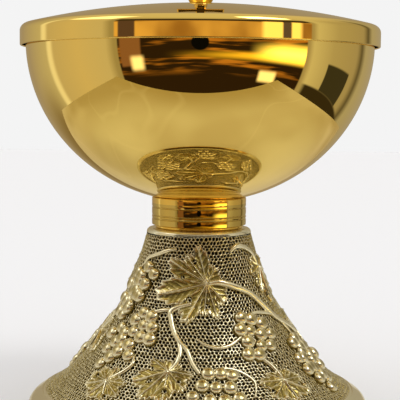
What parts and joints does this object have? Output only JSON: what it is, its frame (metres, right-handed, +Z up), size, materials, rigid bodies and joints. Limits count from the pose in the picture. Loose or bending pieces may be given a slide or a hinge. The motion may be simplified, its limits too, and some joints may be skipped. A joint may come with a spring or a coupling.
{
  "type": "ciborium",
  "caption": "Covered church cup: mirror-polished bowl and lift-off lid with a cross, on a grooved collar and a bell-shaped cast foot.",
  "frame": {"origin": "centre of the foot's bottom ring, on the surface it stands on", "axes": "+Z up along the vessel's turning axis, +X along the arms of the cross, -Y towards the front"},
  "size_m": [0.1544, 0.1544, 0.2141],
  "materials": {
    "polished_gold": "mirror-polished gilt brass",
    "yellow_gold": "polished, deeper yellow gilt brass",
    "cast_gilt": "cast brass with a pale gilt finish",
    "zinc_steel": "zinc-plated steel"
  },
  "bodies": {
    "vessel": {"foot_rim": "cast_gilt", "foot_casting": "cast_gilt", "collar_base_ring": "yellow_gold", "collar_sleeve": "yellow_gold", "cup_seat_ring": "yellow_gold", "cup_boss": "yellow_gold", "cup_bowl": "polished_gold", "tie_rod": "zinc_steel", "bridge_washer": "zinc_steel", "spring_washer": "zinc_steel", "tie_nut": "zinc_steel"},
    "lid": {"lid_shell": "polished_gold", "finial_knop": "yellow_gold", "finial_cross": "yellow_gold", "finial_stud": "zinc_steel", "lid_washer": "zinc_steel", "lid_nut": "zinc_steel"}
  },
  "joints": [
    {"name": "lid_lift", "type": "slide", "parent": "vessel", "child": "lid", "axis": [0, 0, 1], "range_m": [0, 0.08]}
  ]
}
